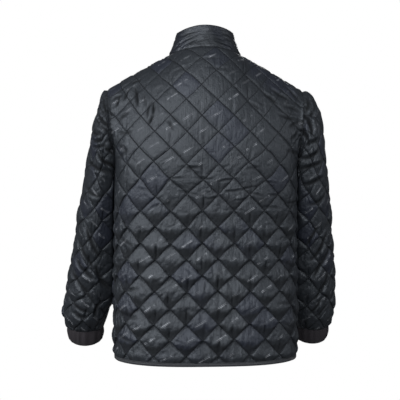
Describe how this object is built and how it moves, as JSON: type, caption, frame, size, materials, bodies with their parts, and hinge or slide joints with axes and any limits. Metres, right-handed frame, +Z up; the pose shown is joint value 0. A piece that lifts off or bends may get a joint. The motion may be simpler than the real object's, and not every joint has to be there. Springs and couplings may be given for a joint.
{
  "type": "quilted jacket filled out as worn",
  "caption": "Hip-length quilted jacket with stand collar, set-in sleeves, knitted rib cuffs, bound hem and closed front zip, filled out as worn with nobody in it.",
  "frame": {"origin": "middle of the neck opening at the height where the shoulder seams meet the collar, where the wearer's shoulders hold it", "axes": "+Z up, +Y the way the wearer faces, +X the wearer's right"},
  "size_m": [0.6685, 0.3078, 0.7803],
  "materials": {
    "quilted_nylon": "plain-woven nylon quilted in diamonds, soft gloss",
    "rib_knit": "knitted rib, matt",
    "binding": "folded nylon binding, soft gloss",
    "zip_tape": "woven tape, matt",
    "zip_teeth": "moulded",
    "zip_metal": "dark plated, satin"
  },
  "bodies": {
    "garment": {"back": "quilted_nylon", "front_left": "quilted_nylon", "front_right": "quilted_nylon", "sleeve_left": "quilted_nylon", "sleeve_right": "quilted_nylon", "collar": "quilted_nylon", "cuff_left": "rib_knit", "cuff_right": "rib_knit", "hem_binding": "binding", "zip_tape_left": "zip_tape", "zip_tape_right": "zip_tape", "zip_chain": "zip_teeth", "zip_slider": "zip_metal"},
    "pull": {"zip_pull": "zip_metal"}
  },
  "joints": [
    {"name": "zip_pull_swing", "type": "hinge", "parent": "garment", "child": "pull", "pos_m": [0, 0.08745, -0.04], "axis": [1, 0, 0], "range_deg": [-5, 165]}
  ]
}
